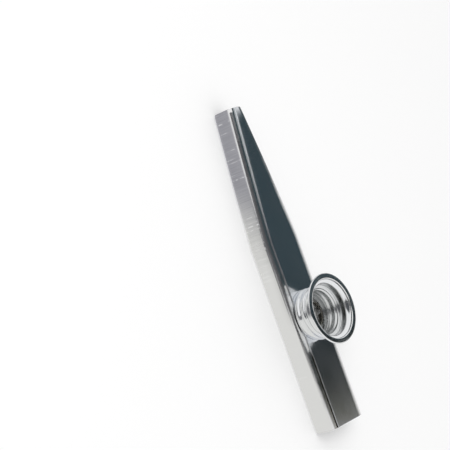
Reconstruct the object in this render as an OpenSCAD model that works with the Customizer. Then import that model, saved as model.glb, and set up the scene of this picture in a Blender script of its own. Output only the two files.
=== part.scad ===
// Metal kazoo with a screw-capped film turret, lying on its flat back.
// +X points to the wide mouth end and +Z runs up the turret.
// The origin lies under the middle of the whole outline.

/* [Body] */
// Length of the body between its two open ends
body_len = 120; // [100:1:150]
// Width of the straight mouth half
body_w = 19.4; // [18:0.1:24]
// Depth of the straight mouth half, from the back to the top of the shoulders
body_depth = 8.4; // [7:0.1:12]
// Length of the tapered stretch at the small end
taper_len = 50.5; // [35:0.5:62]
// Width at the small end
small_w = 7.3; // [7:0.1:14]
// Depth at the small end
small_depth = 8.3; // [6:0.1:9]
// How far the taper's sides bow outwards, 1 being straight
taper_bow_share = 1.1; // [1:0.05:1.6]
// Thickness of the body's sheet
body_sheet = 0.45; // [0.3:0.05:0.6]
// Outside radius of the four long folds
fold_r = 1.4; // [0.8:0.1:1.6]
// Radius of the rounded lower corners at both ends, seen from the side
end_round = 1.3; // [0.6:0.1:2]
// Width of the folded shoulder that shows beside the front plate
shoulder_w = 2.5; // [2:0.1:2.7]
// Width of the shoulder that runs on under the front plate
seam_lap = 0.8; // [0.5:0.1:0.9]

/* [Front plate] */
// Thickness of the front plate's sheet
plate_sheet = 0.45; // [0.3:0.05:0.6]
// Size of the broken corner along the plate's two upper edges
plate_edge = 0.12; // [0.05:0.01:0.2]

/* [Turret collar] */
// Distance of the turret's axis from the mouth end
turret_from_mouth = 40.5; // [30:0.5:50]
// Thickness of the turret's spun sheet, in the collar and in the cap
turret_sheet = 0.4; // [0.3:0.05:0.5]
// How far the collar's wall stands in from the body's sides
collar_inset = 0.5; // [0.4:0.05:1]
// Height of the collar above the front plate
collar_h = 5.65; // [5:0.05:6.2]
// Pitch of the rolled screw thread
thread_pitch = 2.8; // [2.5:0.1:3]
// How far the rolled thread stands out of the collar's wall
collar_ridge = 0.35; // [0.1:0.05:0.45]
// Radius of the rolled bead along the collar's top
collar_bead = 0.4; // [0.3:0.05:0.5]
// Radius of the bend at the foot of the collar's wall
foot_bend = 0.6; // [0.4:0.05:0.8]
// How far the lip under the front plate stands out from the collar's spigot
lip_w = 0.5; // [0.3:0.05:0.55]

/* [Turret cap] */
// How far the cap's rim stands out past the body's sides
rim_overhang = 3.2; // [2.4:0.1:4]
// Width of the flat lip round the cap's rim
rim_lip_w = 1.5; // [1.2:0.1:1.8]
// Radius of the folded edges of that lip
rim_hem = 0.35; // [0.25:0.05:0.45]
// Height of the cap's rim above the front plate
rim_h = 10.25; // [9.6:0.05:11.4]
// Width of the cap's clamp flange over the film and its ring
clamp_w = 2.8; // [1:0.05:2.9]
// Depth of the rolled thread seen inside the cap
cap_groove = 0.3; // [0.1:0.05:0.35]
// Radius of the bend between the clamp flange and the cap's skirt
clamp_bend = 0.55; // [0.35:0.05:0.6]
// Radius of the bend where the cap's skirt turns into its flare
flare_bend = 0.7; // [0.5:0.05:0.9]
// Angle of the flare away from the turret's axis
flare_angle = 66; // [56:1:68]
// Radius of the bend where the flare turns up into the rim's wall
rim_bend = 1.2; // [0.7:0.1:1.3]
// Height above the front plate at which the skirt ends and the flare starts
flare_h = 6.6; // [6.2:0.05:6.7]

/* [Film] */
// Thickness of the film that hums
film_t = 0.1; // [0.05:0.01:0.15]
// Thickness of the card ring that holds the film flat
ring_t = 0.2; // [0.15:0.05:0.4]
// Width of the card ring
ring_w = 2.7; // [0.9:0.05:2.8]

/* [Fits] */
// Gap between the cap's skirt and the collar's bore
screw_gap = 0.15; // [0.12:0.01:0.2]
// Gap between the film and the bend at the foot of the collar's wall
film_gap = 0.05; // [0.02:0.01:0.2]
// Gap between the collar's spigot and its hole in the front plate
spigot_gap = 0.05; // [0.03:0.01:0.1]
// Gap between the lip under the front plate and the shoulders beside it
lip_gap = 0.15; // [0.1:0.05:0.4]

/* [Hidden] */
$fn = 96;

// Steps round a fold, along the taper, round a bend and along one thread pitch
fold_steps = 5;
taper_steps = 16;
bend_steps = 6;
pitch_steps = 10;
// Run-out of a cut past the faces that it opens
overrun = 1;
// Two points of an outline closer than this are one
same_point = 0.001;

turret_x = body_len / 2 - turret_from_mouth;
plate_top = body_depth + plate_sheet;

// Outside of the collar's wall between its ridges, the middle of its sheet and its bore
collar_r = body_w / 2 - collar_inset;
collar_mid_r = collar_r - turret_sheet / 2;
bore_r = collar_r - turret_sheet;
collar_floor = plate_top + turret_sheet;

// The air hole is as wide as the gap between the shoulders leaves it
air_hole_r = body_w / 2 - shoulder_w - seam_lap - lip_gap - lip_w - turret_sheet;
spigot_mid_r = air_hole_r + turret_sheet / 2;
plate_hole_r = air_hole_r + turret_sheet + spigot_gap;

// The film and its ring lie on the collar's floor, and the cap presses on the ring
ring_z = collar_floor + film_t;
clamp_z = ring_z + ring_t;
film_r = collar_mid_r - foot_bend - film_gap;
ring_hole_r = film_r - ring_w;
clamp_hole_r = film_r - clamp_w;

// Middle of the cap's sheet along its skirt, and its rim
rim_r = body_w / 2 + rim_overhang;
skirt_mid_r = bore_r - screw_gap - turret_sheet / 2;
rim_mid_r = rim_r - rim_lip_w + turret_sheet / 2;
flare_z = plate_top + flare_h;
rim_z = plate_top + rim_h - rim_hem;

// Points along an arc of radius r about c, from one angle to another
function arc(c, r, from, to, steps) = [
    for (i = [0:steps])
        let (a = from + (to - from) * i / steps)
            [c[0] + r * cos(a), c[1] + r * sin(a)]
];

// A list in reverse order, and a half outline seen in a mirror
function backwards(list) = [for (i = [len(list) - 1:-1:0]) list[i]];
function mirrored(path) = [for (p = path) [-p[0], p[1]]];

// Normal of the segment between two points, and an open path moved sideways by d
function side_of(a, b) = let (v = b - a) [v[1], -v[0]] / norm(v);
function side_at(path, i) =
    i == 0 ? side_of(path[0], path[1]) :
    i == len(path) - 1 ? side_of(path[i - 1], path[i]) :
    let (a = side_of(path[i - 1], path[i]), b = side_of(path[i], path[i + 1]))
        (a + b) / (1 + a * b);
function moved(path, d) = [for (i = [0:len(path) - 1]) path[i] + d * side_at(path, i)];

// A path without the points that repeat the one before them
function without_repeats(path) = [
    for (i = [0:len(path) - 1])
        if (i == 0 || norm(path[i] - path[i - 1]) > same_point) path[i]
];

// A path thickened to a sheet of thickness t
module sheet_section(path, t) {
    line = without_repeats(path);
    polygon(concat(moved(line, t / 2), backwards(moved(line, -t / 2))));
}

// Stations along the body, as shares of the taper from the small end, and the mouth end
stations = concat(
    [for (i = [0:taper_steps]) -body_len / 2 + taper_len * i / taper_steps],
    [body_len / 2]
);

// Share of the taper that is done at x, and the body's half width and depth there
function taper_share(x) = min(1, (x + body_len / 2) / taper_len);
function half_w(x) =
    (body_w - (body_w - small_w) * pow(1 - taper_share(x), taper_bow_share)) / 2;
function depth(x) = small_depth + (body_depth - small_depth) * taper_share(x);

// One side of the channel's section, from the shoulder's inner edge down to the back
function channel_side(w, d, r) = concat(
    [[w - shoulder_w - seam_lap, d - fold_r + r]],
    arc([w - fold_r, d - fold_r], r, 90, 0, fold_steps),
    arc([w - fold_r, fold_r], r, 0, -90, fold_steps)
);
function channel_path(x, r) =
    let (side = channel_side(half_w(x), depth(x), r))
        concat(side, backwards(mirrored(side)));

// The front plate's upper face with its two broken edges, and the face under it
function plate_side(x) = half_w(x) - shoulder_w;
function plate_path(x, edge, top) =
    let (w = plate_side(x), z = depth(x))
        [[w, z + top - edge], [w - plate_edge, z + top],
         [plate_edge - w, z + top], [-w, z + top - edge]];

// A folded sheet along the stations, between an outer and an inner path at each one
module long_sheet(outer, inner) {
    n = len(outer[0]);
    last = len(stations) - 1;
    points = [
        for (i = [0:last])
            for (p = concat(outer[i], inner[i])) [stations[i], p[0], p[1]]
    ];
    faces = concat(
        [for (i = [0:last - 1], j = [0:n - 2])
            each quad(at(i, j, n), at(i, j + 1, n), at(i + 1, j + 1, n), at(i + 1, j, n))],
        [for (i = [0:last - 1], j = [n:2 * n - 2])
            each quad(at(i, j, n), at(i + 1, j, n), at(i + 1, j + 1, n), at(i, j + 1, n))],
        [for (i = [0:last - 1])
            each quad(at(i, 0, n), at(i + 1, 0, n), at(i + 1, n, n), at(i, n, n))],
        [for (i = [0:last - 1])
            each quad(at(i, n - 1, n), at(i, 2 * n - 1, n),
                      at(i + 1, 2 * n - 1, n), at(i + 1, n - 1, n))],
        [for (j = [0:n - 2])
            each quad(at(0, j, n), at(0, n + j, n), at(0, n + j + 1, n), at(0, j + 1, n))],
        [for (j = [0:n - 2])
            each quad(at(last, j, n), at(last, j + 1, n),
                      at(last, n + j + 1, n), at(last, n + j, n))]
    );
    polyhedron(points, faces);
}
function at(i, j, n) = i * 2 * n + j;
function quad(a, b, c, d) = [[a, b, c], [a, c, d]];

// What is cut away to round the lower corner of the small end, across the whole width
module end_corner() {
    translate([-body_len / 2, 0, 0])
        rotate([90, 0, 0])
            linear_extrude(height = body_w + 2 * overrun, center = true)
                difference() {
                    translate([-overrun, -overrun])
                        square(end_round + overrun);
                    translate([end_round, end_round])
                        circle(r = end_round);
                }
}

// Back, sides and inturned shoulders, folded from one sheet and open at both ends
module body_channel() {
    color([0.8, 0.8, 0.82])
        difference() {
            long_sheet(
                [for (x = stations) channel_path(x, fold_r)],
                [for (x = stations) channel_path(x, fold_r - body_sheet)]
            );
            end_corner();
            mirror([1, 0, 0])
                end_corner();
        }
}

// Plate that closes the channel, lying on its shoulders, with the turret's hole
module front_plate() {
    color([0.45, 0.48, 0.52])
        difference() {
            long_sheet(
                [for (x = stations) plate_path(x, plate_edge, plate_sheet)],
                [for (x = stations) plate_path(x, 0, 0)]
            );
            translate([turret_x, 0, body_depth - overrun])
                cylinder(r = plate_hole_r, h = plate_sheet + 2 * overrun);
        }
}

// Radius of a threaded sheet at height z: from r at the top it swells once in every pitch
function thread_r(r, swell, z, top) =
    r + swell * (1 - cos(360 * (top - z) / thread_pitch)) / 2;

// Threaded stretch of a sheet, as a path up its middle
function thread_path(r, swell, from, top) =
    let (steps = ceil((top - from) / thread_pitch * pitch_steps))
        [for (i = [0:steps])
            let (z = from + (top - from) * i / steps) [thread_r(r, swell, z, top), z]];

// Spun collar: a lip and spigot through the plate, the film's seat, and the threaded wall
module turret_collar() {
    lip_z = body_depth - turret_sheet / 2;
    floor_z = plate_top + turret_sheet / 2;
    foot_z = floor_z + foot_bend;
    bead_z = plate_top + collar_h - collar_bead;
    foot_r = thread_r(collar_mid_r, collar_ridge, foot_z, bead_z);
    path = concat(
        [[spigot_mid_r + turret_sheet / 2 + lip_w, lip_z],
         [spigot_mid_r, lip_z],
         [spigot_mid_r, floor_z]],
        arc([foot_r - foot_bend, foot_z], foot_bend, -90, 0, bend_steps),
        thread_path(collar_mid_r, collar_ridge, foot_z, bead_z)
    );
    color([0.85, 0.85, 0.86])
        translate([turret_x, 0, 0]) {
            rotate_extrude()
                sheet_section(path, turret_sheet);
            rotate_extrude()
                translate([bore_r + collar_bead, bead_z])
                    circle(r = collar_bead);
        }
}

// Spun cap: a clamp flange that presses on the film's ring, a threaded skirt, a flare
// and a flat lip, hemmed along its edge
module turret_cap() {
    flange_z = clamp_z + turret_sheet / 2;
    foot_z = flange_z + clamp_bend;
    foot_r = thread_r(skirt_mid_r, -cap_groove, foot_z, flare_z);
    flare_foot = [skirt_mid_r + flare_bend * (1 - cos(flare_angle)),
                  flare_z + flare_bend * sin(flare_angle)];
    flare_top_r = rim_mid_r - rim_bend * (1 - cos(flare_angle));
    rim_bend_z = flare_foot[1] + (flare_top_r - flare_foot[0]) / tan(flare_angle)
        + rim_bend * sin(flare_angle);
    path = concat(
        [[clamp_hole_r, flange_z]],
        arc([foot_r - clamp_bend, foot_z], clamp_bend, -90, 0, bend_steps),
        thread_path(skirt_mid_r, -cap_groove, foot_z, flare_z),
        arc([skirt_mid_r + flare_bend, flare_z], flare_bend, 180, 180 - flare_angle, bend_steps),
        arc([rim_mid_r - rim_bend, rim_bend_z], rim_bend, -flare_angle, 0, bend_steps),
        [[rim_mid_r, rim_z]]
    );
    color([0.82, 0.82, 0.84])
        translate([turret_x, 0, 0]) {
            rotate_extrude()
                sheet_section(path, turret_sheet);
            rotate_extrude()
                hull()
                    for (r = [rim_r - rim_lip_w + rim_hem, rim_r - rim_hem])
                        translate([r, rim_z])
                            circle(r = rim_hem);
        }
}

// Film that hums, lying on the collar's floor over the air hole
module film() {
    color([0.9, 0.88, 0.84])
        translate([turret_x, 0, collar_floor])
            cylinder(r = film_r, h = film_t);
}

// Card ring along the film's edge
module film_ring() {
    color([0.93, 0.92, 0.88])
        translate([turret_x, 0, ring_z])
            difference() {
                cylinder(r = film_r, h = ring_t);
                translate([0, 0, -overrun])
                    cylinder(r = ring_hole_r, h = ring_t + 2 * overrun);
            }
}

body_channel();
front_plate();
turret_collar();
turret_cap();
film();
film_ring();
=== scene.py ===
"""Metal kazoo with a screw-capped film turret: its finish, stage, light and camera."""

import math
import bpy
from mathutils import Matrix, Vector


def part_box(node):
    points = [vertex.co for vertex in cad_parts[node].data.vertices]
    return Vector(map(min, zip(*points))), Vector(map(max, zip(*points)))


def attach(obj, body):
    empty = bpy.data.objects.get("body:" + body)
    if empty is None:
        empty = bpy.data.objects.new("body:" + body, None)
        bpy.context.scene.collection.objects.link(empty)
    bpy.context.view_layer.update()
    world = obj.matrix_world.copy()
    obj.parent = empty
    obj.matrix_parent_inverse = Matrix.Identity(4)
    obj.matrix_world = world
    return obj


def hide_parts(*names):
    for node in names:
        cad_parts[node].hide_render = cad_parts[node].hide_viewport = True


bl_info = {
    "name": "Screw-cap kazoo",
    "version": (1, 0, 0),
    "blender": (4, 5, 0),
    "location": "View3D > Sidebar > Kazoo",
    "description": "Builds a folded metal kazoo with its threaded turret, film and stage",
    "category": "Add Mesh",
}

from typing import NamedTuple

import bmesh
import bpy
from bpy.props import FloatProperty, FloatVectorProperty, IntProperty, PointerProperty
from bpy.types import Operator, Panel, PropertyGroup
from mathutils import Matrix, Vector

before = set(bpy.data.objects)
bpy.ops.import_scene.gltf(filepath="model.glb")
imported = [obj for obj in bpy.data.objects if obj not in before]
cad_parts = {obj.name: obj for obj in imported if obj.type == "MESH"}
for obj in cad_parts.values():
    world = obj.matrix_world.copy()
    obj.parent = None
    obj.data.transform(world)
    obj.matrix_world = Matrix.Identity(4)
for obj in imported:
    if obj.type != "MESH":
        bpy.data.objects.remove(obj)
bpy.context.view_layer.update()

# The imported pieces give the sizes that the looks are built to
BODY_LOW, BODY_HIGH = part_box("body_channel")
PLATE_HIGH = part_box("front_plate")[1]
COLLAR_LOW, COLLAR_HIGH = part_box("turret_collar")
CAP_LOW, CAP_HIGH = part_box("turret_cap")
FILM_LOW, FILM_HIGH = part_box("film")
RING_LOW, RING_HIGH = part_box("film_ring")
TURRET_AXIS = (CAP_LOW + CAP_HIGH) / 2

MM = 0.001
AT_END = 0.01 * MM  # points this near to an end of the body lie on it
ALONG = 0.5  # an edge runs along the kazoo if its direction has more X than this
WELD_REACH = 0.002 * MM  # points of the spun metal this near to each other are merged
MIDDLE_REACH = 0.001 * MM  # and so are points at the film's middle
CORNER_ANGLE = 1.0  # radians between two faces over which their edge gets rounded
BREAK_ANGLE = math.radians(60)  # cut edges over it are broken
SHARP_ANGLE = math.radians(50)  # edges over it are shaded sharp
SPUN_EDGE_SHARE = 1 / 6  # of the spun sheet, broken off its cut edges
CARD_EDGE = 0.05 * MM  # radius of the card ring's soft edges
CUTTER_LENGTH = 10 * MM  # of the cylinder that cuts the plate's hole
CUTTER_SEGMENTS = 96

# X from which the plate's play grows and at which it is full, at the far and the near edge
FAR_PLAY_X = (-32 * MM, -20 * MM)
NEAR_PLAY_X = (5 * MM, 30 * MM)
NEAR_PLAY_SHARE = 0.6

# Distances between the rings of points on the spun walls
THREAD_STEP = 0.09 * MM
SLOPE_STEP = 0.2 * MM
FLARE_STEP = 0.25 * MM
LIP_STEP = 0.3 * MM
FLOOR_STEP = 0.8 * MM

# Only walls between these radii take a thread
THREAD_RADII = (7.6 * MM, 9.4 * MM)

# The dark gap in the surroundings: X of its edges at the small end and the mouth, and how
# soft they are
GAP_EDGES = {"Left": -0.28, "Right": 0.075, "Soft": 0.06}


def number_prop(name, description, default, kind=FloatProperty, **more):
    """A plain number, or one of another kind."""
    return kind(name=name, description=description, default=default, **more)


def count_prop(name, description, default, low):
    """A whole number of faces or sections."""
    return number_prop(name, description, default, IntProperty, min=low)


def length_prop(name, description, mm):
    """A size, given in millimetres and kept in metres."""
    return number_prop(name, description, mm * MM, min=0.0, unit="LENGTH", precision=5)


def angle_prop(name, description, degrees):
    """An angle, given in degrees."""
    return number_prop(name, description, math.radians(degrees), subtype="ANGLE")


def share_prop(name, description, default):
    """A value from 0 to 1."""
    return number_prop(name, description, default, min=0.0, max=1.0, subtype="FACTOR")


def colour_prop(name, description, default):
    """A colour, as the shader takes it."""
    return number_prop(
        name, description, default, FloatVectorProperty, min=0.0, max=1.0, size=3, subtype="COLOR"
    )


class KazooBodySizes(PropertyGroup):
    """Sizes of the folded channel and the plate that closes it."""

    taper_len: length_prop("Taper length", "Stretch that narrows to the small end", 50.5)
    small_w: length_prop("Small end's width", "Width across the small end", 7.3)
    small_depth: length_prop("Small end's depth", "Depth of the small end", 8.3)
    bow: number_prop("Bow", "Power of the taper's outward bow", 1.1, min=1.0)
    taper_rows: count_prop("Taper's sections", "Sections along the taper", 32, 4)
    straight_rows: count_prop("Straight's sections", "Sections along the straight half", 8, 1)
    sheet: length_prop("Sheet", "Thickness of the folded sheet", 0.45)
    fold: length_prop("Fold radius", "Outside radius of the four long folds", 1.4)
    fold_steps: count_prop("Fold steps", "Faces round one fold", 8, 2)
    end_round: length_prop("End round", "Radius of the ends' rounded lower corners", 1.3)
    shoulder_w: length_prop("Shoulder", "Width of the shoulder beside the plate", 2.5)
    shoulder_drop: length_prop("Shoulder drop", "Fall of the shoulder to its fold", 0.16)
    seam_lap: length_prop("Seam lap", "Width of the shoulder under the plate", 0.8)
    plate_play: length_prop("Plate play", "Gap beside the plate's far edge", 0.5)
    edge: length_prop("Broken edge", "Size of the channel's broken edges", 0.07)
    plate_edge: length_prop("Plate's edge", "Size of the plate's rounded edges", 0.224)


class KazooTurretSizes(PropertyGroup):
    """Sizes of the collar, the cap and the film."""

    sheet: length_prop("Sheet", "Thickness of the spun sheet", 0.4)
    pitch: length_prop("Thread pitch", "Rise of the rolled thread in one turn", 2.8)
    thread_lead: length_prop("Thread's lead", "Height over which a thread fades in", 0.5)
    collar_swell: length_prop("Collar thread", "Reach of the thread on the collar", 0.42)
    cap_swell: length_prop("Cap thread", "Depth of the thread in the skirt", 0.7)
    cap_sunk: length_prop("Cap thread, sunk", "Part of that depth inside the wall", 0.55)
    foot_bend: length_prop("Foot bend", "Radius of the bend at the collar's foot", 0.6)
    collar_bead: length_prop("Collar bead", "Radius of the roll along the collar's top", 0.4)
    spigot_r: length_prop("Air hole", "Radius of the air hole inside the spigot", 5.25)
    lip_w: length_prop("Lip", "Width of the lip turned out under the plate", 0.5)
    screw_gap: length_prop("Screw gap", "Gap between the cap's skirt and the collar", 0.15)
    foot_draw: length_prop("Foot draw", "How much narrower the cap's foot is", 0.1)
    rim_lip_w: length_prop("Rim lip", "Width of the flat lip round the cap's rim", 2.1)
    rim_hem: length_prop("Rim hem", "Radius of the lip's hemmed edge", 0.3)
    clamp_hole_r: length_prop("Clamp hole", "Radius of the hole in the cap's foot", 5.55)
    clamp_bend: length_prop("Clamp bend", "Radius of the bend over the clamp", 0.55)
    step_drop: length_prop("Step drop", "From the collar's top down to the step", 0.25)
    step_bend: length_prop("Step bend", "Radius of the step's two bends", 0.4)
    step_angle: angle_prop("Step angle", "Angle of the step off the axis", 75)
    throat_r: length_prop("Throat", "Radius of the wide ring over the step", 9.65)
    flare_h: length_prop("Flare height", "From the plate to the flare's start", 8.15)
    flare_bend: length_prop("Flare bend", "Radius of the bend under the flare", 0.7)
    flare_angle: angle_prop("Flare angle", "Angle of the flare off the axis", 64)
    rim_bend: length_prop("Rim bend", "Radius of the bend from the flare to the rim", 0.6)
    ring_hole_r: length_prop("Ring hole", "Radius of the hole in the film's ring", 5.65)
    segments: count_prop("Segments", "Faces round the turret", 160, 24)


class KazooFinish(PropertyGroup):
    """Colours and roughness of the metals, film and card."""

    body_colour: colour_prop("Body", "Metal of the folded channel", (0.8, 0.8, 0.8))
    plate_colour: colour_prop("Plate", "Metal of the front plate", (0.70, 0.72, 0.75))
    # Painted highlight: the lighter colour along the plate's near edge
    edge_highlight_colour: colour_prop("Edge highlight", "Metal of the plate's edge", (0.92, 0.96, 0.98))
    # Painted shade: a near-black colour for the plate's edge in the seam beside it
    seam_shade_colour: colour_prop("Seam darkness", "Shade painted in the seam beside the plate", (0.035, 0.03, 0.022))
    turret_colour: colour_prop("Turret", "Metal of the collar and the cap", (0.8, 0.81, 0.82))
    # Painted shade: darker colour deep inside the cap's throat
    throat_shade_colour: colour_prop("Throat shade", "Metal deep inside the cap", (0.62, 0.63, 0.63))
    film_colour: colour_prop("Film", "Film over the air hole", (0.3, 0.3, 0.26))
    card_colour: colour_prop("Card", "Card ring round the film", (0.74, 0.70, 0.60))
    body_rough: share_prop("Body roughness", "Roughness of the brushed channel", 0.22)
    plate_rough: share_prop("Plate roughness", "Roughness of the front plate", 0.115)
    turret_rough: share_prop("Turret roughness", "Roughness of the polished turret", 0.1)


class KazooStage(PropertyGroup):
    """Camera, light and floor."""

    azimuth: angle_prop("Azimuth", "Camera's turn round the kazoo", 2.62)
    elevation: angle_prop("Elevation", "Camera's height angle", 40.32)
    roll: angle_prop("Roll", "Camera's turn about its own axis", 68.66)
    distance: length_prop("Distance", "From the camera to the point that it looks at", 500)
    aim: number_prop(
        "Aim", "Point on the camera's axis", (-0.0221, 0.0075, -0.0215), FloatVectorProperty,
        subtype="XYZ",
    )
    lens: number_prop("Lens", "Focal length in millimetres", 105.63, min=10.0)
    key: number_prop("Key", "Power of the lamp in watts", 1.2, min=0.0)
    ambient: number_prop("Ambient", "Light of the surroundings", 0.75, min=0.0)
    floor_colour: colour_prop("Floor", "Colour of the floor", (0.86, 0.86, 0.86))
    floor_seen: colour_prop("Floor, mirrored", "The floor in the metal", (0.86, 0.86, 0.84))
    floor_far: colour_prop("Floor, far off", "Far floor at the small end", (0.93, 0.93, 0.95))
    grey_seen: colour_prop("Greyed floor", "The floor beside the taper", (0.45, 0.45, 0.49))
    grey_from: number_prop("Greyed from", "X at which the mirrored floor greys", -0.012)
    grey_run: length_prop("Greyed over", "Length over which it greys", 24)
    gap_near: colour_prop("Gap, near", "The gap low on the camera's side", (0.18, 0.18, 0.19))
    gap_over: colour_prop("Gap, overhead", "The gap overhead", (0.09, 0.091, 0.097))
    gap_far: colour_prop("Gap, far", "The gap low on the far side", (0.04, 0.064, 0.075))
    gap_warm: colour_prop("Gap, warmth", "Added at the gap's right edge", (0.08, 0.065, 0.03))
    gap_left: number_prop("Gap's left", "X of the gap's edge at the small end", GAP_EDGES["Left"])
    gap_right: number_prop("Gap's right", "X of the gap's edge at the mouth", GAP_EDGES["Right"])
    gap_soft: number_prop("Gap's softness", "Width of the gap's soft edges", GAP_EDGES["Soft"])


def new_object(name, bm):
    """A mesh object made of bm, which is freed."""
    mesh = bpy.data.meshes.new(name)
    bm.to_mesh(mesh)
    bm.free()
    piece = bpy.data.objects.new(name, mesh)
    bpy.context.scene.collection.objects.link(piece)
    return piece


def modified(piece, kind, **settings):
    """Adds a modifier to the piece and applies it to its mesh."""
    made = piece.modifiers.new(kind, kind)
    for key, value in settings.items():
        setattr(made, key, value)
    seen = piece.evaluated_get(bpy.context.evaluated_depsgraph_get())
    mesh = bpy.data.meshes.new_from_object(seen)
    mesh.name = piece.name
    old = piece.data
    piece.modifiers.clear()
    piece.data = mesh
    bpy.data.meshes.remove(old)


def break_edges(piece, width, segments=2):
    """Rounds the sharp edges of the piece."""
    modified(
        piece, "BEVEL",
        width=width, segments=segments, limit_method="ANGLE", angle_limit=BREAK_ANGLE,
    )


def welded(piece):
    """Merges the points of the piece's mesh that lie within the weld's reach."""
    bm = bmesh.new()
    bm.from_mesh(piece.data)
    bmesh.ops.remove_doubles(bm, verts=bm.verts, dist=WELD_REACH)
    bmesh.ops.dissolve_degenerate(bm, edges=bm.edges, dist=WELD_REACH)
    bm.to_mesh(piece.data)
    bm.free()


def place(piece, body, node, material):
    """Smooths the piece, with large flats kept flat and sharp edges sharp, puts the material on,
    puts the piece under its CAD body, and hides the CAD node that it stands in for."""
    piece.data.shade_smooth()
    piece.data.set_sharp_from_angle(angle=SHARP_ANGLE)
    modified(piece, "WEIGHTED_NORMAL", mode="FACE_AREA", weight=90, keep_sharp=True)
    piece.data.materials.clear()
    piece.data.materials.append(material)
    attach(piece, body)
    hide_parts(node)


def taper_share(sizes, x):
    """How far x lies along the taper, from 0 at the small end to 1."""
    return min(1.0, (x - BODY_LOW.x) / sizes.taper_len)


def half_width(sizes, x):
    """Half the body's width at x."""
    left = (1 - taper_share(sizes, x)) ** sizes.bow
    full = BODY_HIGH.y
    return full - (full - sizes.small_w / 2) * left


def depth(sizes, x):
    """The body's depth at x."""
    return sizes.small_depth + (BODY_HIGH.z - sizes.small_depth) * taper_share(sizes, x)


def stations(sizes):
    """Places of the sections along the body."""
    rows, more = sizes.taper_rows, sizes.straight_rows
    taper = [BODY_LOW.x + sizes.taper_len * i / rows for i in range(rows + 1)]
    start = taper[-1]
    return taper + [start + (BODY_HIGH.x - start) * (i + 1) / more for i in range(more)]


def swept_strip(section, places):
    """A strip of faces through the corner points that section(x) gives at each place."""
    bm = bmesh.new()
    row = [bm.verts.new((places[0], y, z)) for y, z in section(places[0])]
    edges = [bm.edges.new(pair) for pair in zip(row, row[1:])]
    for x in places[1:]:
        made = bmesh.ops.extrude_edge_only(bm, edges=edges)["geom"]
        edges = [g for g in made if isinstance(g, bmesh.types.BMEdge)]
        fresh = {v for e in edges for v in e.verts}
        for vert, (y, z) in zip(ordered_chain(edges, fresh), section(x)):
            vert.co = Vector((x, y, z))
    return bm


def ordered_chain(edges, verts):
    """The vertices of an open chain, from its +Y end."""
    links = {v: [e.other_vert(v) for e in edges if v in e.verts] for v in verts}
    here = max((v for v in verts if len(links[v]) == 1), key=lambda v: v.co.y)
    chain = [here]
    while len(chain) < len(verts):
        here = next(v for v in links[here] if v not in chain)
        chain.append(here)
    return chain


def face_outwards(bm, inside):
    """Turns all the faces round if the largest of them looks towards the point inside."""
    face = max(bm.faces, key=lambda f: f.calc_area())
    bmesh.ops.recalc_face_normals(bm, faces=bm.faces)
    if face.normal.dot(face.calc_center_median() - inside) < 0:
        bmesh.ops.reverse_faces(bm, faces=bm.faces)


def is_corner(edge):
    """Whether two faces meet at the edge at a clear angle."""
    return len(edge.link_faces) == 2 and edge.calc_face_angle() > CORNER_ANGLE


def round_edges(bm, chosen, radius, segments):
    """Rounds the edges for which chosen(edge) is true."""
    bmesh.ops.bevel(
        bm, geom=[e for e in bm.edges if chosen(e)], offset=radius, offset_type="OFFSET",
        segments=segments, profile=0.5, affect="EDGES", material=-1,
    )


class KAZOO_OT_channel(Operator):
    """Folded channel: back, sides and inturned shoulders, with round folds"""

    bl_idname = "kazoo.channel"
    bl_label = "Body channel"

    def execute(self, context):
        sizes = context.scene.kazoo_body

        def section(x):
            w, d = half_width(sizes, x), depth(sizes, x)
            inner = w - sizes.shoulder_w
            tip = inner - sizes.seam_lap
            side = [(tip, d), (inner, d), (w, d - sizes.shoulder_drop), (w, 0.0)]
            return side + [(-y, z) for y, z in reversed(side)]

        bm = swept_strip(section, stations(sizes))
        bm.normal_update()
        round_edges(bm, self.is_fold, sizes.fold, sizes.fold_steps)
        self.round_ends(bm, sizes.end_round)
        face_outwards(bm, Vector((0, 0, BODY_HIGH.z / 2)))
        piece = new_object("kazoo_body_channel", bm)
        modified(piece, "SOLIDIFY", thickness=sizes.sheet, offset=-1, use_even_offset=True)
        break_edges(piece, sizes.edge)
        material = body_material(context.scene.kazoo_finish)
        place(piece, "body", "body_channel", material)
        return {"FINISHED"}

    def is_fold(self, edge):
        """Whether the edge is a corner that runs along the kazoo."""
        start, end = (v.co for v in edge.verts)
        return abs((start - end).normalized().x) > ALONG and is_corner(edge)

    def round_ends(self, bm, radius):
        """Draws in the lower part of both open ends, so that their corners are round."""
        for vert in bm.verts:
            x, z = vert.co.x, vert.co.z
            if z >= radius or BODY_LOW.x + AT_END < x < BODY_HIGH.x - AT_END:
                continue
            inwards = radius - math.sqrt(radius ** 2 - (radius - z) ** 2)
            vert.co.x += inwards if x < 0 else -inwards


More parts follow.
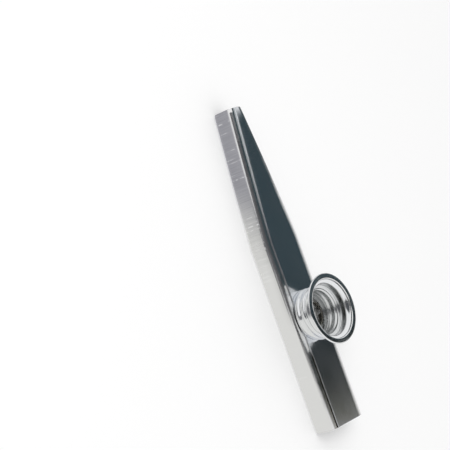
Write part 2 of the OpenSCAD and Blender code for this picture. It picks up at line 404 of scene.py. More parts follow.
class KAZOO_OT_plate(Operator):
    """Front plate on the channel's shoulders, with the hole for the collar's spigot"""

    bl_idname = "kazoo.plate"
    bl_label = "Front plate"

    def execute(self, context):
        sizes = context.scene.kazoo_body
        turret = context.scene.kazoo_turret

        def grown(x, start, end):
            return min(max((x - start) / (end - start), 0), 1)

        def section(x):
            w, d = half_width(sizes, x) - sizes.shoulder_w, depth(sizes, x)
            far = sizes.plate_play * grown(x, *FAR_PLAY_X)
            near = NEAR_PLAY_SHARE * sizes.plate_play * grown(x, *NEAR_PLAY_X)
            return [(w - far, d), (near - w, d)]

        bm = swept_strip(section, stations(sizes))
        face_outwards(bm, Vector((0, 0, 0)))
        piece = new_object("kazoo_front_plate", bm)
        modified(piece, "SOLIDIFY", thickness=sizes.sheet, offset=1)
        cutter = self.cutter(turret.spigot_r + turret.sheet)
        modified(piece, "BOOLEAN", object=cutter, solver="EXACT")
        bpy.data.objects.remove(cutter)
        break_edges(piece, sizes.plate_edge, segments=4)
        material = plate_material(context.scene.kazoo_finish, sizes)
        place(piece, "body", "front_plate", material)
        return {"FINISHED"}

    def cutter(self, radius):
        """A cylinder through the plate on the turret's axis."""
        bm = bmesh.new()
        middle = Matrix.Translation((TURRET_AXIS.x, TURRET_AXIS.y, PLATE_HIGH.z))
        bmesh.ops.create_cone(
            bm, cap_ends=True, segments=CUTTER_SEGMENTS, radius1=radius, radius2=radius,
            depth=CUTTER_LENGTH, matrix=middle,
        )
        return new_object("plate_hole_cutter", bm)


def arc(centre, radius, start, end, steps=8):
    """Points along an arc about centre, from one angle to another in degrees."""
    angles = [math.radians(start + (end - start) * i / steps) for i in range(steps + 1)]
    return [(centre[0] + radius * math.cos(a), centre[1] + radius * math.sin(a)) for a in angles]


def straight(start, end, step):
    """Points between two ends, both left out, about one step apart."""
    a, b = Vector(start), Vector(end)
    count = max(1, round((b - a).length / step))
    return [tuple(a.lerp(b, i / count)) for i in range(1, count)]


def spin_round(bm, points, segments, closed=False):
    """Spins a line through (radius, height) points all the way round the Z axis."""
    row = [bm.verts.new((r, 0, z)) for r, z in points]
    following = row[1:] + row[:1] if closed else row[1:]
    edges = [bm.edges.new(pair) for pair in zip(row, following)]
    bmesh.ops.spin(
        bm, geom=row + edges, cent=(0, 0, 0), axis=(0, 0, 1), angle=math.tau,
        steps=segments, use_merge=True,
    )


def turret_object(name, bm):
    """An object of bm, moved from the origin to the turret's axis."""
    bmesh.ops.translate(bm, verts=bm.verts, vec=(TURRET_AXIS.x, TURRET_AXIS.y, 0))
    return new_object(name, bm)


def spun(name, path, sizes, low, high, inward, outward):
    """A sheet spun round the turret's axis from its middle line, with a thread rolled into it."""
    bm = bmesh.new()
    spin_round(bm, path, sizes.segments)
    bmesh.ops.recalc_face_normals(bm, faces=bm.faces)
    roll_thread(bm, sizes.pitch, low, high, inward, outward, sizes.thread_lead)
    piece = turret_object(name, bm)
    modified(piece, "SOLIDIFY", thickness=sizes.sheet, offset=0, use_even_offset=True)
    welded(piece)
    break_edges(piece, sizes.sheet * SPUN_EDGE_SHARE)
    welded(piece)
    return piece


def roll_thread(bm, pitch, low, high, inward, outward, lead):
    """Rolls a right-handed thread into the wall between two heights: a helix that swells
    from inward to outward once in each pitch and fades over lead at both ends."""
    for vert in bm.verts:
        z = vert.co.z
        radius = math.hypot(vert.co.x, vert.co.y)
        if not (low < z < high and THREAD_RADII[0] <= radius <= THREAD_RADII[1]):
            continue
        turn = math.atan2(vert.co.y, vert.co.x) / math.tau
        wave = (1 + math.cos(math.tau * (z / pitch - turn))) / 2
        fade = min(1.0, (z - low) / lead, (high - z) / lead)
        fade = fade * fade * (3 - 2 * fade)
        grown = radius + fade * (inward + (outward - inward) * wave)
        vert.co.x *= grown / radius
        vert.co.y *= grown / radius


def collar_bore(sizes):
    """Radius of the collar's bore, inside the roll along its top."""
    return COLLAR_HIGH.x - TURRET_AXIS.x - 2 * sizes.collar_bead


class KAZOO_OT_collar(Operator):
    """Threaded collar with its foot, spigot and the lip turned out under the plate"""

    bl_idname = "kazoo.collar"
    bl_label = "Turret collar"

    def execute(self, context):
        sizes = context.scene.kazoo_turret
        t = sizes.sheet
        floor_z = PLATE_HIGH.z + t / 2
        spigot = sizes.spigot_r + t / 2
        lip_z = COLLAR_LOW.z + t / 2
        wall_r = collar_bore(sizes) + t / 2
        bead = sizes.collar_bead - t / 2
        top_z = COLLAR_HIGH.z - sizes.collar_bead
        foot_r = wall_r - sizes.foot_bend
        foot_z = floor_z + sizes.foot_bend
        path = [
            (spigot + t / 2 + sizes.lip_w, lip_z),
            (spigot, lip_z),
            (spigot, floor_z),
            *straight((spigot, floor_z), (foot_r, floor_z), FLOOR_STEP),
            *arc((foot_r, foot_z), sizes.foot_bend, -90, 0),
            *straight((wall_r, foot_z), (wall_r, top_z), THREAD_STEP),
            *arc((wall_r + bead, top_z), bead, 180, -120, steps=20),
        ]
        piece = spun(
            "kazoo_turret_collar", path, sizes, foot_z, top_z - bead, 0.0, sizes.collar_swell
        )
        finish = turret_material(context.scene.kazoo_finish, "Spun collar metal", False)
        place(piece, "body", "turret_collar", finish)
        return {"FINISHED"}


class KAZOO_OT_cap(Operator):
    """Screw cap with its clamp flange, threaded skirt, stepped throat, flare and hemmed lip"""

    bl_idname = "kazoo.cap"
    bl_label = "Turret cap"

    def execute(self, context):
        sizes = context.scene.kazoo_turret
        t = sizes.sheet
        rim = CAP_HIGH.x - TURRET_AXIS.x
        skirt_r = collar_bore(sizes) - sizes.screw_gap - t / 2
        foot_r = skirt_r - sizes.foot_draw
        flange_z = CAP_LOW.z + t / 2
        foot_z = flange_z + sizes.clamp_bend
        hem = sizes.rim_hem - t / 2
        edge_r = rim - sizes.rim_hem
        lip_z = CAP_HIGH.z - t / 2
        rim_r = rim - sizes.rim_lip_w + t / 2
        step_z = COLLAR_HIGH.z - sizes.step_drop
        flare_z = PLATE_HIGH.z + sizes.flare_h
        step = self.sloped(
            (skirt_r, step_z), sizes.throat_r, sizes.step_bend, sizes.step_bend,
            sizes.step_angle, SLOPE_STEP, low_steps=6, high_steps=6,
        )
        flare = self.sloped(
            (sizes.throat_r, flare_z), rim_r, sizes.flare_bend, sizes.rim_bend,
            sizes.flare_angle, FLARE_STEP, low_steps=8, high_steps=10,
        )
        turned = arc((rim_r + hem, lip_z - hem), hem, 180, 90, steps=4)
        path = [
            (sizes.clamp_hole_r, flange_z),
            *arc((foot_r - sizes.clamp_bend, foot_z), sizes.clamp_bend, -90, 0),
            *straight((foot_r, foot_z), step[0], THREAD_STEP),
            *step,
            *straight(step[-1], flare[0], FLARE_STEP),
            *flare,
            *turned,
            *straight(turned[-1], (edge_r, lip_z), LIP_STEP),
            *arc((edge_r, lip_z - hem), hem, 90, -90),
            (edge_r - sizes.rim_hem, lip_z - 2 * hem),
        ]
        sunk = sizes.cap_sunk
        piece = spun(
            "kazoo_turret_cap", path, sizes, foot_z, step_z, -sunk, sizes.cap_swell - sunk
        )
        finish = turret_material(context.scene.kazoo_finish, "Spun cap metal", True)
        place(piece, "cap", "turret_cap", finish)
        return {"FINISHED"}

    def sloped(self, start, wide_r, low_bend, high_bend, angle, step, low_steps, high_steps):
        """A wall that bends outwards from start, runs at an angle off the axis, and bends
        back upright at the radius wide_r."""
        slope = math.degrees(angle)
        lower = arc((start[0] + low_bend, start[1]), low_bend, 180, 180 - slope, low_steps)
        foot_r, foot_z = lower[-1]
        high_r = wide_r - high_bend * (1 - math.cos(angle))
        high_z = foot_z + (high_r - foot_r) / math.tan(angle)
        centre = (wide_r - high_bend, high_z + high_bend * math.sin(angle))
        upper = arc(centre, high_bend, -slope, 0, high_steps)
        return [*lower, *straight(lower[-1], upper[0], step), *upper]


class KAZOO_OT_film(Operator):
    """Humming film, slightly slack and wrinkled, and the card ring that holds it flat"""

    bl_idname = "kazoo.film"
    bl_label = "Film and ring"

    def execute(self, context):
        sizes = context.scene.kazoo_turret
        finish = context.scene.kazoo_finish
        self.film(sizes, finish)
        self.ring(sizes, finish)
        return {"FINISHED"}

    def film(self, sizes, finish):
        """A disc on the collar's floor whose free middle ripples by a few hundredths."""
        outer = FILM_HIGH.x - TURRET_AXIS.x
        middle_z = (FILM_LOW.z + FILM_HIGH.z) / 2
        thickness = ripple = 0.03 * MM
        calm_r = 2 * MM
        rings = 24
        # Waves round the film: how many, their phase and their share
        waves = ((7, 0.8, 1.0), (11, 2.1, 0.6))
        bm = bmesh.new()
        spin_round(
            bm, [(outer * i / rings, middle_z) for i in range(rings + 1)], sizes.segments
        )
        bmesh.ops.remove_doubles(bm, verts=bm.verts, dist=MIDDLE_REACH)
        bmesh.ops.recalc_face_normals(bm, faces=bm.faces)
        for vert in bm.verts:
            radius = math.hypot(vert.co.x, vert.co.y)
            angle = math.atan2(vert.co.y, vert.co.x)
            free = max(0.0, 1 - radius / sizes.ring_hole_r) * min(1.0, radius / calm_r)
            wave = sum(share * math.sin(n * angle + phase) for n, phase, share in waves)
            vert.co.z += ripple * free * wave
        piece = turret_object("kazoo_film", bm)
        modified(piece, "SOLIDIFY", thickness=thickness, offset=0)
        place(piece, "film_seat", "film", film_material(finish))

    def ring(self, sizes, finish):
        """A flat ring cut from card, with slightly soft edges."""
        outer, hole = RING_HIGH.x - TURRET_AXIS.x, sizes.ring_hole_r
        low, high = RING_LOW.z, RING_HIGH.z
        bm = bmesh.new()
        corners = [(hole, low), (outer, low), (outer, high), (hole, high)]
        spin_round(bm, corners, sizes.segments, closed=True)
        round_edges(bm, is_corner, CARD_EDGE, segments=2)
        bmesh.ops.recalc_face_normals(bm, faces=bm.faces)
        piece = turret_object("kazoo_film_ring", bm)
        place(piece, "film_seat", "film_ring", card_material(finish))


class Graph:
    """A shader node tree with short ways to add to it: sockets and plain values both serve."""

    def __init__(self, tree):
        self.tree = tree

    def put(self, value, socket):
        """Links value to the socket if it is a socket too, and otherwise sets it there."""
        if isinstance(value, bpy.types.NodeSocket):
            self.tree.links.new(value, socket)
        else:
            socket.default_value = (*value, 1) if socket.type == "RGBA" else value

    def dress(self, made, inputs):
        """Fills a node's inputs, by name or number."""
        for key, value in inputs.items():
            self.put(value, made.inputs[key])

    def node(self, kind, inputs=None, **settings):
        """A new node."""
        made = self.tree.nodes.new("ShaderNode" + kind)
        for key, value in settings.items():
            setattr(made, key, value)
        self.dress(made, inputs or {})
        return made

    def maths(self, operation, *values, clamp=False):
        """The result of a math node."""
        inputs = dict(enumerate(values))
        return self.node("Math", inputs, operation=operation, use_clamp=clamp).outputs[0]

    def vectors(self, operation, first, second):
        """The result of a vector math node on two vectors."""
        return self.node("VectorMath", {0: first, 1: second}, operation=operation).outputs[0]

    def scaled(self, vector, scale):
        """A vector or colour times a number."""
        return self.node("VectorMath", {0: vector, "Scale": scale}, operation="SCALE").outputs[0]

    def ramp(self, value, start, end, first=0.0, last=1.0, kind="SMOOTHSTEP"):
        """From first to last while value runs from start to end."""
        inputs = {
            "Value": value, "From Min": start, "From Max": end, "To Min": first, "To Max": last,
        }
        return self.node("MapRange", inputs, interpolation_type=kind).outputs["Result"]

    def spread(self, share, low, high):
        """share, from 0 to 1, spread evenly from low to high."""
        return self.ramp(share, 0.0, 1.0, low, high, "LINEAR")

    def between(self, value, low, high, soft):
        """1 where value lies from low to high, with soft ends."""
        ends = (self.ramp(value, low, low + soft), self.ramp(value, high, high - soft))
        return self.maths("MULTIPLY", *ends)

    def mix(self, share, first, second):
        """A colour between first and second."""
        inputs = {"Factor": share, "A": first, "B": second}
        return self.node("Mix", inputs, data_type="RGBA").outputs["Result"]

    def axes(self, vector):
        """The X, Y and Z of a vector."""
        return self.node("SeparateXYZ", {"Vector": vector}).outputs

    def noise(self, vector, scale, detail, roughness, distortion=0.0):
        """Noise in 3D."""
        inputs = {
            "Vector": vector, "Scale": scale, "Detail": detail, "Roughness": roughness,
            "Distortion": distortion,
        }
        return self.node("TexNoise", inputs).outputs["Fac"]

    def point(self):
        """The point on the piece, in the object's own coordinates."""
        return self.node("TexCoord").outputs["Object"]

    def group(self, group, vector, **values):
        """The outputs of a node group, fed with a vector and its own values."""
        return self.node("Group", {"Vector": vector, **values}, node_tree=group).outputs

    def bump(self, shader, height, strength, distance):
        """Feeds a height to the shader's normal."""
        inputs = {"Height": height, "Strength": strength, "Distance": distance}
        self.put(self.node("Bump", inputs).outputs["Normal"], shader.inputs["Normal"])


def shared_group(name, inputs, outputs, fill):
    """The node group of this name, made on its first use. fill(graph, inputs) makes its nodes
    and gives the sockets for its outputs."""
    tree = bpy.data.node_groups.get(name)
    if tree:
        return tree
    tree = bpy.data.node_groups.new(name, "ShaderNodeTree")
    for label, default in {"Vector": (0.0, 0.0, 0.0), **inputs}.items():
        kind = "NodeSocketFloat" if isinstance(default, float) else "NodeSocketVector"
        made = tree.interface.new_socket(label, in_out="INPUT", socket_type=kind)
        made.default_value = default
    for label in outputs:
        tree.interface.new_socket(label, in_out="OUTPUT", socket_type="NodeSocketFloat")
    results = fill(Graph(tree), tree.nodes.new("NodeGroupInput").outputs)
    end = tree.nodes.new("NodeGroupOutput")
    for label, socket in zip(outputs, results):
        tree.links.new(socket, end.inputs[label])
    return tree


# Noise of the fine lines and of the wide streaks: scale, detail and roughness
GRAIN_NOISES = ((1.0, 6.0, 0.7), (0.22, 3.0, 0.6))


def grain_group():
    """Fine parallel lines: noise drawn out by Stretch, which packs them along one axis."""

    def fill(graph, given):
        drawn = graph.vectors("MULTIPLY", given["Vector"], given["Stretch"])
        for noise in GRAIN_NOISES:
            centred = graph.maths("SUBTRACT", graph.noise(drawn, *noise), 0.5)
            yield graph.maths("MULTIPLY_ADD", centred, given["Contrast"], 0.5, clamp=True)

    inputs = {"Stretch": (1.0, 1.0, 1.0), "Contrast": 1.0}
    return shared_group("Kazoo grain", inputs, ("Lines", "Streaks"), fill)


# The smears' noise: detail, roughness and distortion, and the values between which they show
SMEAR_NOISE = (5.0, 0.6, 0.8)
SMEARS_SHOWN = (0.38, 0.68)


def handling_group():
    """Finger marks and soft clouding, as a mask."""

    def fill(graph, given):
        clouds = graph.noise(given["Vector"], given["Size"], *SMEAR_NOISE)
        return (graph.ramp(clouds, *SMEARS_SHOWN),)

    return shared_group("Kazoo handling", {"Size": 120.0}, ("Smears",), fill)


# The gap's edges, as height from, height to, shift from and shift to: two ramps bring the left
# edge in, and the right one rises evenly, less a third ramp
LEFT_INWARDS = (0.2, 0.7, -0.12, 0.065)
LEFT_AT_HORIZON = (0.3, 0.02, 0.0, 0.13)
RIGHT_DIP = (0.18, 0.0, 0.0, 0.04)
RIGHT_RISE = 0.118
RIGHT_CRISPNESS = 2.0

# Z of the gap's foot on the far side. It is lower on the camera's side, by a slope times Y,
# and beyond the small end, by a slope times X and a start
GAP_FOOT = (0.45, 0.575)
FOOT_NEAR_SLOPE = -5.0
FOOT_SMALL_END = (-15.0, -0.9)


def gap_group():
    """A soft-edged dark gap between white walls, from low on the camera's side over the top
    to the far side: Gap is 1 in it, and Height runs from 0 on the near horizon to 1 on the
    far one."""

    def fill(graph, given):
        maths = graph.maths
        x, y, z = graph.axes(given["Vector"])
        height = maths("DIVIDE", maths("ARCTAN2", z, maths("MULTIPLY", y, -1.0)), math.pi)
        inset = maths(
            "ADD", graph.ramp(height, *LEFT_INWARDS), graph.ramp(height, *LEFT_AT_HORIZON)
        )
        from_left = maths("SUBTRACT", maths("SUBTRACT", x, given["Left"]), inset)
        risen = maths("MULTIPLY_ADD", height, RIGHT_RISE, given["Right"])
        edge = maths("SUBTRACT", risen, graph.ramp(height, *RIGHT_DIP))
        to_right = maths("MULTIPLY", maths("SUBTRACT", edge, x), RIGHT_CRISPNESS)
        inside = graph.ramp(maths("MINIMUM", from_left, to_right), 0.0, given["Soft"])
        near = maths("MAXIMUM", maths("MULTIPLY", y, FOOT_NEAR_SLOPE), 0.0)
        small = maths("MAXIMUM", maths("MULTIPLY_ADD", x, *FOOT_SMALL_END), 0.0)
        above = graph.ramp(maths("ADD", maths("ADD", z, near), small), *GAP_FOOT)
        return maths("MULTIPLY", inside, above), height

    return shared_group("Kazoo gap", GAP_EDGES, ("Gap", "Height"), fill)


WHITE = (1.0, 1.0, 1.0)


def new_material(name):
    """A material with a Principled shader, the graph of its tree and that shader."""
    material = bpy.data.materials.new(name)
    material.use_nodes = True
    tree = material.node_tree
    return material, Graph(tree), tree.nodes["Principled BSDF"]


def darker(colour, share):
    """colour, darkened by share."""
    return tuple(c * (1 - share) for c in colour)


class Wear(NamedTuple):
    """A metal's fine lines and smears, and what they do to its roughness and colour."""

    stretch: tuple
    contrast: float
    relief: float
    smear_size: float
    smoother: float
    rougher: float
    smeared: float
    darkened: float

    def masks(self, graph, lines_at, smears_at):
        """The outputs of the lines' group, and the smears."""
        grain = graph.group(grain_group(), lines_at, Stretch=self.stretch, Contrast=self.contrast)
        return grain, graph.group(handling_group(), smears_at, Size=self.smear_size)["Smears"]

    def roughness(self, graph, base, share, smears):
        """From smoother than base to rougher, by a share from 0 to 1, with the smears added."""
        lined = graph.spread(share, base - self.smoother, base + self.rougher)
        return graph.maths("ADD", lined, graph.spread(smears, 0.0, self.smeared))


BODY_WEAR = Wear(
    stretch=(3200.0, 60.0, 60.0), contrast=1.6, relief=0.03 * MM, smear_size=90.0,
    smoother=0.12, rougher=0.08, smeared=0.05, darkened=0.35,
)
PLATE_WEAR = Wear(
    stretch=(60.0, 4200.0, 4200.0), contrast=1.3, relief=0.0015 * MM, smear_size=45.0,
    smoother=0.03, rougher=0.03, smeared=0.02, darkened=0.06,
)
TURRET_WEAR = Wear(
    stretch=(5200.0, 1.0, 5200.0), contrast=1.4, relief=0.01 * MM, smear_size=160.0,
    smoother=0.03, rougher=0.05, smeared=0.06, darkened=0.07,
)

# The brushed band on the body's sides: its distance from the back and the top, its softness
# and its strength along X, as X from, X to, share from and share to
BRUSHED_INSET = 0.9 * MM
BRUSHED_SOFT = 0.5 * MM
BRUSHED_ALONG = (5 * MM, -20 * MM, 0.12, 1.0)
BRUSHED_RELIEF = 0.35
SCRATCH_ROUGHNESS = 0.5


def body_material(finish):
    """Bare aluminium sheet, brushed across its length on the sides, most along the taper."""
    material, graph, shader = new_material("Brushed body sheet")
    vector = graph.point()
    x, _, z = graph.axes(vector)
    on_side = graph.between(z, BRUSHED_INSET, BODY_HIGH.z - BRUSHED_INSET, BRUSHED_SOFT)
    brushed = graph.maths("MULTIPLY", on_side, graph.ramp(x, *BRUSHED_ALONG))
    wear, colour = BODY_WEAR, finish.body_colour
    grain, smears = wear.masks(graph, vector, vector)
    lines = graph.maths("MULTIPLY", grain["Lines"], brushed)
    metal = graph.mix(lines, colour, darker(colour, wear.darkened))
    rough = wear.roughness(graph, finish.body_rough, brushed, smears)
    scratches = scratched(graph, vector, brushed)
    graph.dress(shader, {
        "Base Color": graph.mix(scratches, metal, WHITE),
        "Roughness": graph.maths("MULTIPLY_ADD", scratches, SCRATCH_ROUGHNESS, rough),
        "Metallic": 1.0,
    })
    strength = graph.maths("MULTIPLY", brushed, BRUSHED_RELIEF)
    graph.bump(shader, grain["Lines"], strength, wear.relief)
    return material


# The scratches' noise: scale, detail and roughness. Each layer of it has its own way of being
# drawn out, and the values between which it shows
SCRATCH_NOISE = (1.0, 1.0, 0.5)
SCRATCH_LAYERS = (((1100.0, 30.0, 30.0), 0.6, 0.66), ((170.0, 300.0, 420.0), 0.42, 0.56))


def scratched(graph, vector, where):
    """A mask of a few bright scratches across the body's sides, none over the full height."""
    mask = where
    for stretch, low, high in SCRATCH_LAYERS:
        noise = graph.noise(graph.vectors("MULTIPLY", vector, stretch), *SCRATCH_NOISE)
        mask = graph.maths("MULTIPLY", mask, graph.ramp(noise, low, high))
    return mask


# Heights and X of the painted shade on the plate's edge in the seam beside it, and the stretch
# beside the collar that is left out, as from, to and softness
SEAM_HEIGHTS = (PLATE_HIGH.z - 0.04 * MM, PLATE_HIGH.z - 0.16 * MM)
SEAM_SHADE_X = (-8 * MM, 26 * MM)
COLLAR_X = (4 * MM, 34 * MM, 4 * MM)

# The plate bends down from this X to the small end, by this much times the square of the run
BENT_FROM_X = -54 * MM
BENT_BY = -7.0

# How far the band along the plate's near edge reaches in, its share at the mouth and the small
# end, and how much of it the colour takes as a painted highlight
EDGE_BAND_REACH = 0.4 * MM
EDGE_BAND_SHARES = (0.03, 0.5)
EDGE_HIGHLIGHT_GAIN = 2.0


def plate_material(finish, sizes):
    """Bare aluminium sheet with a satin polish along its length, bent down at its small end."""
    material, graph, shader = new_material("Satin front plate")
    vector = graph.point()
    x, _, z = graph.axes(vector)
    wear, colour = PLATE_WEAR, finish.plate_colour
    grain, smears = wear.masks(graph, vector, vector)
    beside = graph.maths(
        "SUBTRACT", graph.ramp(x, *SEAM_SHADE_X), graph.between(x, *COLLAR_X), clamp=True
    )
    # Painted shade: the plate's edge goes near black in the seam beside it, towards the mouth
    seam_shade = graph.maths("MULTIPLY", graph.ramp(z, *SEAM_HEIGHTS), beside)
    edge_band = edge_highlight_and_roughness(graph, vector, sizes)
    # Painted highlight: the colour lightens along the plate's near edge
    edge_highlight = graph.maths("MULTIPLY", edge_band, EDGE_HIGHLIGHT_GAIN, clamp=True)
    metal = graph.mix(smears, colour, darker(colour, wear.darkened))
    metal = graph.mix(edge_highlight, metal, finish.edge_highlight_colour)
    rough = wear.roughness(graph, finish.plate_rough, grain["Lines"], smears)
    graph.dress(shader, {
        "Base Color": graph.mix(seam_shade, metal, finish.seam_shade_colour),
        "Roughness": graph.maths("ADD", rough, edge_band),
        "Metallic": 1.0,
    })
    run = graph.maths("MAXIMUM", graph.maths("SUBTRACT", BENT_FROM_X, x), 0.0)
    fine = graph.maths("MULTIPLY", grain["Lines"], wear.relief)
    bent = graph.maths("MULTIPLY_ADD", graph.maths("MULTIPLY", run, run), BENT_BY, fine)
    graph.bump(shader, bent, 1.0, 1.0)
    return material


def edge_highlight_and_roughness(graph, vector, sizes):
    """A band along the plate's near edge, most at the small end: it adds roughness and a painted
    highlight.
    """
    maths = graph.maths
    x, y, _ = graph.axes(vector)
    taper_end = BODY_LOW.x + sizes.taper_len
    left = graph.ramp(x, BODY_LOW.x, taper_end, 1.0, 0.0, "LINEAR")
    full = BODY_HIGH.y
    narrower = maths("MULTIPLY", maths("POWER", left, sizes.bow), full - sizes.small_w / 2)
    edge = maths("SUBTRACT", full - sizes.shoulder_w, narrower)
    inwards = maths("DIVIDE", maths("ADD", edge, y), -EDGE_BAND_REACH)
    return maths("MULTIPLY", maths("POWER", math.e, inwards), graph.spread(left, *EDGE_BAND_SHARES))


# The throat is rougher within these radii, and its colour there darkens into painted shade, the
# more the deeper: Z from, Z to and shares
THROAT_RADII = (9.75 * MM, 9.55 * MM)
THROAT_SHADE_DEPTHS = (17 * MM, 9.5 * MM, 0.45, 1.0)
DULLED_ROUGHNESS = 0.1
TURRET_RELIEF = 0.05


def turret_material(finish, name, dull_and_shade_throat):
    """Spun and polished aluminium, with faint lines round the turret's axis. Where asked, it is
    rougher within the throat, and its colour there darkens into painted shade, the more the
    deeper."""
    material, graph, shader = new_material(name)
    to_axis = (-TURRET_AXIS.x, -TURRET_AXIS.y, 0)
    moved = graph.node("Mapping", {"Vector": graph.point(), "Location": to_axis}).outputs[0]
    x, y, z = graph.axes(moved)
    flat = graph.node("CombineXYZ", {"X": x, "Y": y}).outputs[0]
    radius = graph.node("VectorMath", {0: flat}, operation="LENGTH").outputs["Value"]
    round_axis = graph.node("CombineXYZ", {"X": radius, "Z": z}).outputs[0]
    wear, colour = TURRET_WEAR, finish.turret_colour
    grain, smears = wear.masks(graph, round_axis, moved)
    metal = graph.mix(grain["Streaks"], darker(colour, wear.darkened), colour)
    rough = wear.roughness(graph, finish.turret_rough, grain["Lines"], smears)
    if dull_and_shade_throat:
        # Painted shade: the colour darkens the deeper inside the throat
        inside = graph.ramp(radius, *THROAT_RADII)
        share = graph.maths("MULTIPLY", inside, graph.ramp(z, *THROAT_SHADE_DEPTHS, kind="LINEAR"))
        metal = graph.mix(share, metal, finish.throat_shade_colour)
        rough = graph.maths("MULTIPLY_ADD", inside, DULLED_ROUGHNESS, rough)
    graph.dress(shader, {"Base Color": metal, "Roughness": rough, "Metallic": 1.0})
    graph.bump(shader, grain["Lines"], TURRET_RELIEF, wear.relief)
    return material


# The film: how much its smears darken it, and its roughness, alpha and relief
FILM_SMEAR_SIZE, FILM_DARKENED = 260.0, 0.12
FILM_ROUGH, FILM_ALPHA = (0.08, 0.2), (0.04, 0.07)
FILM_RELIEF = (0.2, 0.03 * MM)


def film_material(finish):
    """Thin translucent plastic film."""
    material, graph, shader = new_material("Humming film")
    smears = graph.group(handling_group(), graph.point(), Size=FILM_SMEAR_SIZE)["Smears"]
    colour = finish.film_colour
    graph.dress(shader, {
        "Base Color": graph.mix(smears, colour, darker(colour, FILM_DARKENED)),
        "Roughness": graph.spread(smears, *FILM_ROUGH),
        "Alpha": graph.spread(smears, *FILM_ALPHA),
    })
    graph.bump(shader, smears, *FILM_RELIEF)
    return material


# The card: how its fibres are drawn out, how much they darken it, its roughness and relief
CARD_STRETCH, CARD_CONTRAST, CARD_DARKENED = (2400.0, 1500.0, 900.0), 1.5, 0.14
CARD_ROUGH, CARD_RELIEF = (0.75, 0.92), (0.4, 0.02 * MM)


def card_material(finish):
    """Plain uncoated card, with its fibres."""
    material, graph, shader = new_material("Film ring card")
    fibres = graph.group(
        grain_group(), graph.point(), Stretch=CARD_STRETCH, Contrast=CARD_CONTRAST
    )["Lines"]
    colour = finish.card_colour
    graph.dress(shader, {
        "Base Color": graph.mix(fibres, darker(colour, CARD_DARKENED), colour),
        "Roughness": graph.spread(fibres, *CARD_ROUGH),
    })
    graph.bump(shader, fibres, *CARD_RELIEF)
    return material


# Heights of the colours of the gap
OVERHEAD, FAR = 0.42, 0.78

# The surroundings, by height or by X, as from and to, and shares from and to
WALL_SHADED_HEIGHT = (0.4, 0.2)
WALL_SHADED_X = (0.0, 0.1)
GAP_DEEPER_X = (0.02, 0.07, 1.0, 0.25)
GAP_WARMER_X = (0.1, 0.14)

# The floor as the metal mirrors it, a glowing painted reflection, by X or Y: dim off the camera's
# side, with a softness and a lighter end, and dark behind the small end
OFF_SIDE_Y = (-15 * MM, -27 * MM)
DIM_X = (-42 * MM, 26 * MM, 14 * MM)
LIGHTER_X = (-20 * MM, 0.0)
BEHIND_Y = (6 * MM, 14 * MM)
SMALL_END_X = (-32 * MM, -44 * MM)

LAMP_PLACE = Vector((-0.25, -0.35, 0.6))
LAMP_SIZE = (0.5, 0.4)

# The floor: metres from its middle to a side, its roughness, and its glow for the camera
FLOOR_REACH, FLOOR_ROUGH, FLOOR_GLOW = 3.0, 0.9, 0.2


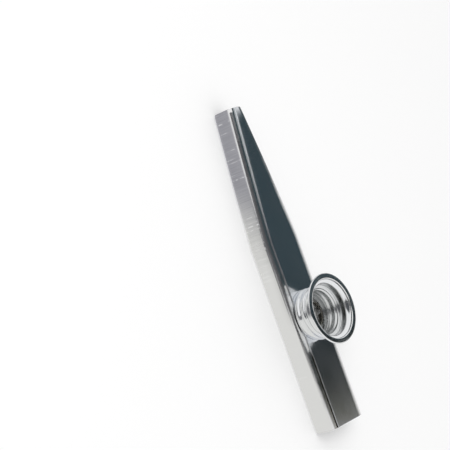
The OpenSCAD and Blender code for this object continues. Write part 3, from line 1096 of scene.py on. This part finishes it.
class KAZOO_OT_stage(Operator):
    """Floor, surroundings, lamp and camera"""

    bl_idname = "kazoo.stage"
    bl_label = "Stage"

    def execute(self, context):
        stage = context.scene.kazoo_stage
        self.surroundings(context.scene, stage)
        self.floor(stage)
        self.lamp(context.scene, stage)
        self.camera(context.scene, stage)
        context.scene.view_settings.view_transform = "Standard"
        return {"FINISHED"}

    def surroundings(self, scene, stage):
        """White walls with one dark gap, which runs from the far side over the top to the
        camera. Only the metal mirrors it: as light the surroundings are plain."""
        world = bpy.data.worlds.new("Surroundings")
        scene.world = world
        world.use_nodes = True
        graph = Graph(world.node_tree)
        vector = graph.node("TexCoord").outputs["Generated"]
        x = graph.axes(vector)["X"]
        gap = graph.group(
            gap_group(), vector, Left=stage.gap_left, Right=stage.gap_right, Soft=stage.gap_soft
        )
        dark = graph.node("ValToRGB", {"Fac": gap["Height"]})
        stops = dark.color_ramp.elements
        stops[0].position, stops[0].color = 0.0, (*stage.gap_near, 1)
        stops[1].position, stops[1].color = FAR, (*stage.gap_far, 1)
        stops.new(OVERHEAD).color = (*stage.gap_over, 1)
        deep = graph.scaled(dark.outputs["Color"], graph.ramp(x, *GAP_DEEPER_X))
        warm = graph.scaled(stage.gap_warm, graph.ramp(x, *GAP_WARMER_X))
        shaded = graph.maths(
            "MULTIPLY", graph.ramp(gap["Height"], *WALL_SHADED_HEIGHT),
            graph.ramp(x, *WALL_SHADED_X),
        )
        wall = graph.mix(shaded, WHITE, stage.floor_seen)
        seen = graph.mix(gap["Gap"], wall, graph.vectors("ADD", deep, warm))
        path = graph.node("LightPath").outputs
        mirrored = graph.mix(path["Is Glossy Ray"], (stage.ambient,) * 3, seen)
        clear = graph.maths("MAXIMUM", path["Is Camera Ray"], path["Is Transmission Ray"])
        back = world.node_tree.nodes["Background"]
        graph.put(graph.mix(clear, mirrored, WHITE), back.inputs["Color"])

    def floor(self, stage):
        """A pale floor under the flat back. The metal mirrors it as a glowing painted reflection
        that greys beside the taper, which paints shade onto the body's sides.
        """
        bm = bmesh.new()
        bmesh.ops.create_grid(bm, x_segments=1, y_segments=1, size=FLOOR_REACH)
        piece = new_object("stage_floor", bm)
        material, graph, shader = new_material("Stage floor")
        x, y, _ = graph.axes(graph.point())
        path = graph.node("LightPath").outputs
        graph.dress(shader, {
            "Base Color": stage.floor_colour,
            "Roughness": FLOOR_ROUGH,
            "Emission Color": WHITE,
            "Emission Strength": graph.spread(path["Is Camera Ray"], 0.0, FLOOR_GLOW),
        })
        # Painted reflection: for mirror rays the floor glows in these greys, which paint shade
        # onto the metal
        greyed = graph.ramp(x, stage.grey_from, stage.grey_from - stage.grey_run)
        beside = graph.mix(greyed, stage.floor_seen, stage.grey_seen)
        far_off = graph.mix(graph.ramp(x, *LIGHTER_X), stage.floor_far, stage.floor_seen)
        off_side = graph.mix(graph.between(x, *DIM_X), far_off, stage.gap_near)
        near = graph.mix(graph.ramp(y, *OFF_SIDE_Y), beside, off_side)
        behind = graph.mix(graph.ramp(x, *SMALL_END_X), stage.floor_seen, stage.gap_over)
        seen = graph.mix(graph.ramp(y, *BEHIND_Y), near, behind)
        glow = graph.node("Emission", {"Color": seen}).outputs[0]
        inputs = {"Fac": path["Is Glossy Ray"], 1: shader.outputs[0], 2: glow}
        surface = graph.node("MixShader", inputs).outputs[0]
        graph.put(surface, graph.tree.nodes["Material Output"].inputs["Surface"])
        piece.data.materials.append(material)

    def lamp(self, scene, stage):
        """One broad soft lamp high on the camera's side, aimed at the origin."""
        light = bpy.data.lights.new("stage_key", "AREA")
        light.energy = stage.key
        light.shape = "RECTANGLE"
        light.size, light.size_y = LAMP_SIZE
        lamp = bpy.data.objects.new("stage_key", light)
        lamp.visible_glossy = False
        scene.collection.objects.link(lamp)
        turn = (-LAMP_PLACE).to_track_quat("-Z", "Y").to_matrix().to_4x4()
        lamp.matrix_world = Matrix.Translation(LAMP_PLACE) @ turn

    def camera(self, scene, stage):
        """The photograph's view: azimuth, elevation and roll about an aim point."""
        data = bpy.data.cameras.new("camera")
        data.lens = stage.lens
        data.sensor_width = 36.0
        data.clip_start = 0.01
        data.clip_end = 20.0
        camera = bpy.data.objects.new("camera", data)
        scene.collection.objects.link(camera)
        a, e = stage.azimuth, stage.elevation
        back = Vector((math.sin(a) * math.cos(e), -math.cos(a) * math.cos(e), math.sin(e)))
        level = Vector((math.cos(a), math.sin(a), 0))
        up = back.cross(level)
        right = level * math.cos(stage.roll) + up * math.sin(stage.roll)
        turn = Matrix((right, back.cross(right), back)).transposed().to_4x4()
        eye = Vector(stage.aim) + back * stage.distance
        camera.matrix_world = Matrix.Translation(eye) @ turn
        scene.camera = camera


class KAZOO_PT_panel(Panel):
    """Builds the kazoo piece by piece"""

    bl_label = "Kazoo"
    bl_idname = "KAZOO_PT_panel"
    bl_space_type = "VIEW_3D"
    bl_region_type = "UI"
    bl_category = "Kazoo"

    def draw(self, context):
        layout = self.layout
        for group in GROUPS:
            box = layout.box()
            values = getattr(context.scene, group)
            for prop in values.bl_rna.properties:
                if prop.identifier not in ("rna_type", "name"):
                    box.prop(values, prop.identifier)
        for operator in OPERATORS:
            layout.operator(operator.bl_idname)


GROUPS = {
    "kazoo_body": KazooBodySizes,
    "kazoo_turret": KazooTurretSizes,
    "kazoo_finish": KazooFinish,
    "kazoo_stage": KazooStage,
}
OPERATORS = (
    KAZOO_OT_stage,
    KAZOO_OT_channel,
    KAZOO_OT_plate,
    KAZOO_OT_collar,
    KAZOO_OT_cap,
    KAZOO_OT_film,
)
CLASSES = (*GROUPS.values(), *OPERATORS, KAZOO_PT_panel)


def register():
    for cls in CLASSES:
        bpy.utils.register_class(cls)
    for name, group in GROUPS.items():
        setattr(bpy.types.Scene, name, PointerProperty(type=group))


def unregister():
    for name in GROUPS:
        delattr(bpy.types.Scene, name)
    for cls in reversed(CLASSES):
        bpy.utils.unregister_class(cls)


def main():
    register()
    bpy.ops.kazoo.stage()
    bpy.ops.kazoo.channel()
    bpy.ops.kazoo.plate()
    bpy.ops.kazoo.collar()
    bpy.ops.kazoo.cap()
    bpy.ops.kazoo.film()


if __name__ == "__main__":
    main()
